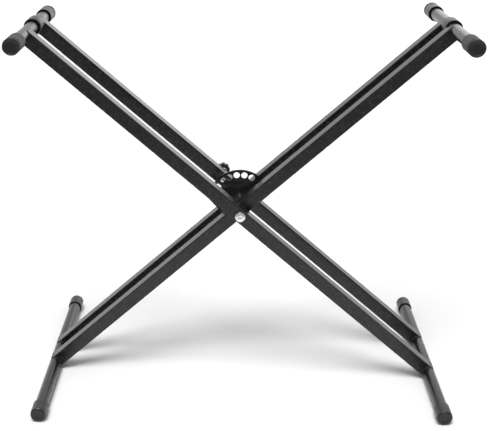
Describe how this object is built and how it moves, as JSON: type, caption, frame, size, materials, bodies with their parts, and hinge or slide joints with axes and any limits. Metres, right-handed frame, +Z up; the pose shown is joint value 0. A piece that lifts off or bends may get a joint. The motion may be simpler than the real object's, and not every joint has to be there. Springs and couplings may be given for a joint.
{
  "type": "folding keyboard stand",
  "caption": "Double-braced X-shaped folding stand with square tube legs, rubber-capped bars and a pin-and-plate height lock.",
  "frame": {"origin": "on the floor, midway between the foot bars, under the pivot", "axes": "+Z up; Y runs along the bars and the pivot bolt; the bolt's head faces -Y"},
  "size_m": [0.8151, 0.472, 0.7055],
  "materials": {
    "painted_tube": "semi-gloss black powder coat",
    "painted_plate": "semi-gloss black powder coat",
    "rubber": "matt moulded rubber, fine ribs",
    "zinc_steel": "bright zinc plate",
    "knob_plastic": "fine-textured black plastic",
    "glide_nylon": "smooth black nylon",
    "spring_steel": "bright spring wire"
  },
  "bodies": {
    "outer_frame": {"outer_leg_front": "painted_tube", "outer_leg_rear": "painted_tube", "outer_top_bar": "painted_tube", "outer_foot_bar": "painted_tube", "outer_bar_sleeve": "rubber", "outer_top_cap_front": "rubber", "outer_top_cap_rear": "rubber", "outer_foot_cap_front": "rubber", "outer_foot_cap_rear": "rubber", "pivot_bolt": "zinc_steel", "pivot_nut": "zinc_steel", "pivot_washer_front": "glide_nylon", "pivot_washer_rear": "glide_nylon", "plunger_housing": "zinc_steel", "lock_spring": "spring_steel"},
    "inner_frame": {"inner_leg_front": "painted_tube", "inner_leg_rear": "painted_tube", "inner_top_bar": "painted_tube", "inner_foot_bar": "painted_tube", "inner_bar_sleeve": "rubber", "inner_top_cap_front": "rubber", "inner_top_cap_rear": "rubber", "inner_foot_cap_front": "rubber", "inner_foot_cap_rear": "rubber", "height_plate": "painted_plate", "glide_washer_front": "glide_nylon", "glide_washer_rear": "glide_nylon", "pivot_spacer_tube": "zinc_steel"},
    "lock_plunger": {"lock_pin": "zinc_steel", "lock_knob": "knob_plastic"}
  },
  "joints": [
    {"name": "fold", "type": "hinge", "parent": "outer_frame", "child": "inner_frame", "pos_m": [0, 0, 0.34306], "axis": [0, 1, 0], "range_deg": [-68, 34]},
    {"name": "lock_pull", "type": "slide", "parent": "outer_frame", "child": "lock_plunger", "axis": [0, 1, 0], "range_m": [-0.0044, 0.009], "stiffness_N_per_m": 400, "deforming": ["lock_spring"]}
  ]
}
